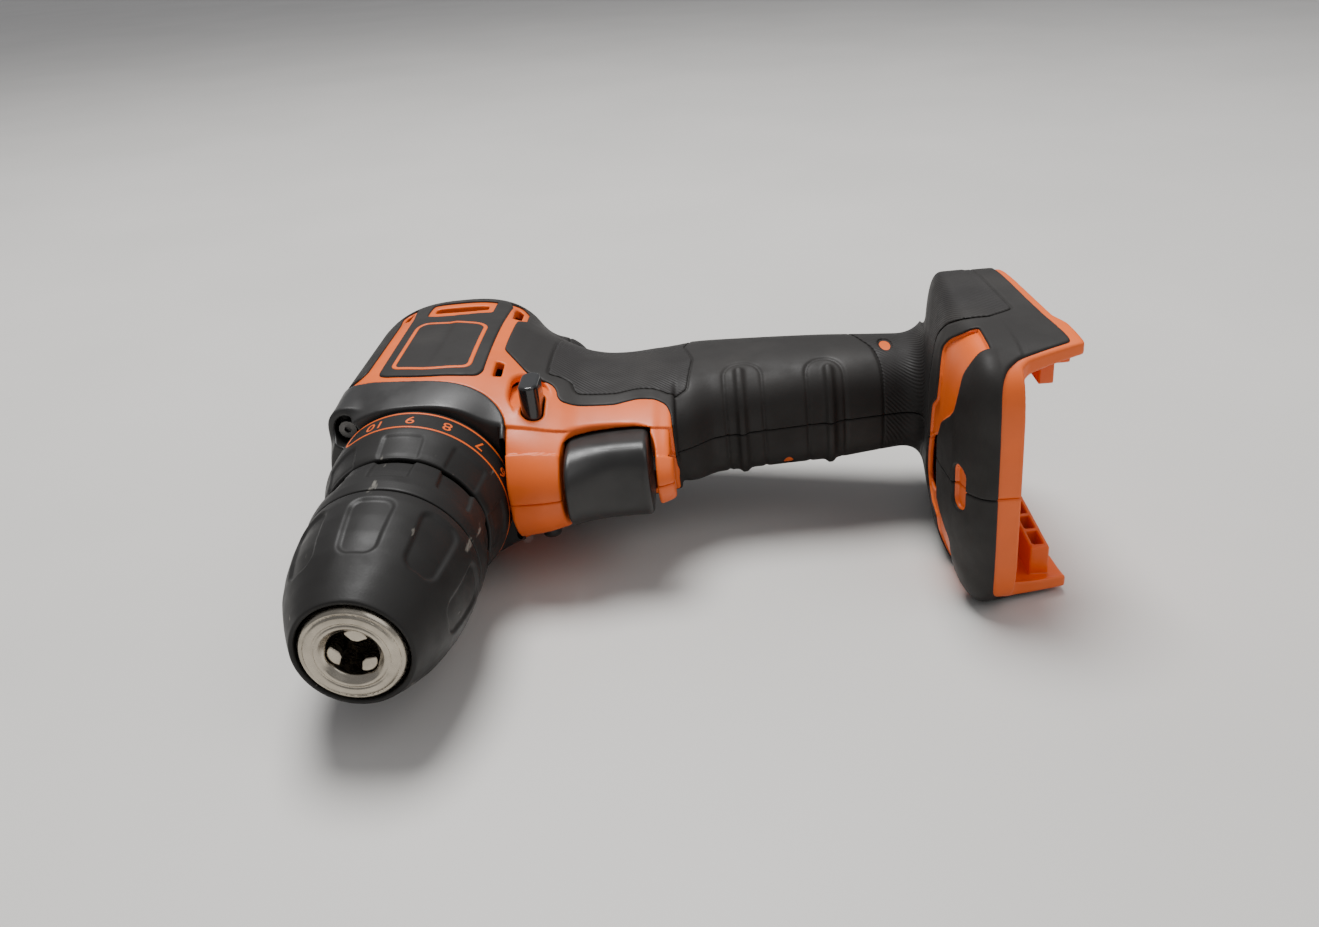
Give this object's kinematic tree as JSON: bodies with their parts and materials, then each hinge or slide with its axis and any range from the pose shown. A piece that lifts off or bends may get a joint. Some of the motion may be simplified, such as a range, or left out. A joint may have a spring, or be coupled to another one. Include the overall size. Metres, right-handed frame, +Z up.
{
  "type": "cordless drill driver",
  "caption": "Bare cordless drill driver with keyless chuck, torque collar, trigger, direction button and slide-on battery foot, lying on its side.",
  "frame": {"origin": "on the surface the drill lies on, under the centre of its bounding box", "axes": "-Y is the way the chuck points, +X runs from the motor housing to the battery foot, +Z is up, the side that is the left of the tool when it is held upright"},
  "size_m": [0.2084, 0.1754, 0.0745],
  "materials": {
    "orange_plastic": "moulded orange ABS, fine satin grain",
    "soft_grip": "soft black overmould, fine texture",
    "chuck_plastic": "black moulded plastic, worn and scuffed",
    "black_plastic": "black moulded plastic",
    "glossy_black": "polished black plastic",
    "lamp_lens": "smoked clear plastic",
    "steel": "turned nickel-plated steel",
    "dark_steel": "dark sintered steel",
    "copper": "enamelled copper winding",
    "brass": "stamped terminal brass",
    "lead_insulation": "insulated lead"
  },
  "bodies": {
    "housing": {"battery_lead_1": "lead_insulation", "battery_lead_2": "lead_insulation", "clutch_spring": "steel", "clutch_washer": "steel", "front_bearing": "steel", "gear_case": "black_plastic", "grip_left": "soft_grip", "grip_right": "soft_grip", "housing_left": "orange_plastic", "housing_right": "orange_plastic", "housing_screw_1": "steel", "housing_screw_2": "steel", "housing_screw_3": "steel", "housing_screw_4": "steel", "housing_screw_5": "steel", "housing_screw_6": "steel", "lamp_board": "black_plastic", "lamp_lens": "lamp_lens", "magnet_1": "dark_steel", "magnet_2": "dark_steel", "motor_can": "dark_steel", "motor_end_cap": "black_plastic", "motor_lead_1": "lead_insulation", "motor_lead_2": "lead_insulation", "nose_cover": "black_plastic", "nose_screw_1": "steel", "nose_screw_2": "steel", "rear_bearing": "steel", "ring_gear": "dark_steel", "switch_module": "black_plastic", "terminal_blade_1": "brass", "terminal_blade_2": "brass", "terminal_blade_3": "brass", "terminal_block": "black_plastic"},
    "spindle": {"spindle": "steel", "planet_carrier": "dark_steel", "chuck_body": "steel", "chuck_rear_ring": "chuck_plastic", "chuck_screw": "steel"},
    "chuck_sleeve": {"chuck_sleeve": "chuck_plastic", "jaw_nut": "dark_steel"},
    "jaw_1": {"jaw_1": "steel"},
    "jaw_2": {"jaw_2": "steel"},
    "jaw_3": {"jaw_3": "steel"},
    "planet_1": {"planet_gear_1": "steel"},
    "planet_2": {"planet_gear_2": "steel"},
    "planet_3": {"planet_gear_3": "steel"},
    "rotor": {"motor_shaft": "steel", "motor_pinion": "steel", "motor_fan": "black_plastic", "armature": "copper"},
    "clutch_collar": {"clutch_collar": "black_plastic"},
    "clutch_nut": {"clutch_nut": "dark_steel"},
    "trigger": {"trigger": "black_plastic"},
    "direction_button": {"direction_button": "glossy_black"},
    "direction_lever": {"direction_lever": "black_plastic"}
  },
  "joints": [
    {"name": "spindle_spin", "type": "hinge", "parent": "housing", "child": "spindle", "pos_m": [-0.07408, -0.0853, 0.02966], "axis": [0, -1, 0], "continuous": true},
    {"name": "motor_spin", "type": "hinge", "parent": "housing", "child": "rotor", "pos_m": [-0.07408, 0.0447, 0.02966], "axis": [0, -1, 0], "continuous": true},
    {"name": "planet_1_spin", "type": "hinge", "parent": "spindle", "child": "planet_1", "pos_m": [-0.08447, 0.0027, 0.02917], "axis": [0, -1, 0], "continuous": true},
    {"name": "planet_2_spin", "type": "hinge", "parent": "spindle", "child": "planet_2", "pos_m": [-0.06847, 0.0027, 0.02091], "axis": [0, -1, 0], "continuous": true},
    {"name": "planet_3_spin", "type": "hinge", "parent": "spindle", "child": "planet_3", "pos_m": [-0.06931, 0.0027, 0.0389], "axis": [0, -1, 0], "continuous": true},
    {"name": "sleeve_turn", "type": "hinge", "parent": "spindle", "child": "chuck_sleeve", "pos_m": [-0.07408, -0.0673, 0.02966], "axis": [0, -1, 0], "range_deg": [-900, 1260]},
    {"name": "jaw_1_slide", "type": "slide", "parent": "spindle", "child": "jaw_1", "axis": [-0.2525, 0.9659, -0.0568], "range_m": [-0.00772, 0.0108]},
    {"name": "jaw_2_slide", "type": "slide", "parent": "spindle", "child": "jaw_2", "axis": [0.1755, 0.9659, -0.1903], "range_m": [-0.00772, 0.0108]},
    {"name": "jaw_3_slide", "type": "slide", "parent": "spindle", "child": "jaw_3", "axis": [0.0771, 0.9659, 0.2471], "range_m": [-0.00772, 0.0108]},
    {"name": "collar_turn", "type": "hinge", "parent": "housing", "child": "clutch_collar", "pos_m": [-0.07408, -0.0223, 0.02966], "axis": [0, -1, 0], "range_deg": [0, 270]},
    {"name": "clutch_nut_slide", "type": "slide", "parent": "housing", "child": "clutch_nut", "axis": [0, -1, 0], "range_m": [0, 0.00241]},
    {"name": "trigger_pull", "type": "slide", "parent": "housing", "child": "trigger", "axis": [0, 1, 0], "range_m": [0, 0.0065], "stiffness_N_per_m": 500, "springref_m": -0.004},
    {"name": "button_push", "type": "slide", "parent": "housing", "child": "direction_button", "axis": [0.0468, 0, -0.9989], "range_m": [0, 0.006]},
    {"name": "lever_turn", "type": "hinge", "parent": "housing", "child": "direction_lever", "pos_m": [-0.03353, 0.0122, 0.03156], "axis": [-0.9989, 0, -0.0468], "range_deg": [-24.4, 0]}
  ],
  "couplings": [
    {"joint": "motor_spin", "follows": "spindle_spin", "ratio": 5.1111},
    {"joint": "planet_1_spin", "follows": "spindle_spin", "ratio": -2.6429},
    {"joint": "planet_2_spin", "follows": "spindle_spin", "ratio": -2.6429},
    {"joint": "planet_3_spin", "follows": "spindle_spin", "ratio": -2.6429},
    {"joint": "jaw_1_slide", "follows": "sleeve_turn", "m_per_rad": 0.00049},
    {"joint": "jaw_2_slide", "follows": "sleeve_turn", "m_per_rad": 0.00049},
    {"joint": "jaw_3_slide", "follows": "sleeve_turn", "m_per_rad": 0.00049},
    {"joint": "clutch_nut_slide", "follows": "collar_turn", "m_per_rad": 0.00051},
    {"joint": "lever_turn", "follows": "button_push", "rad_per_m": -70.3}
  ]
}
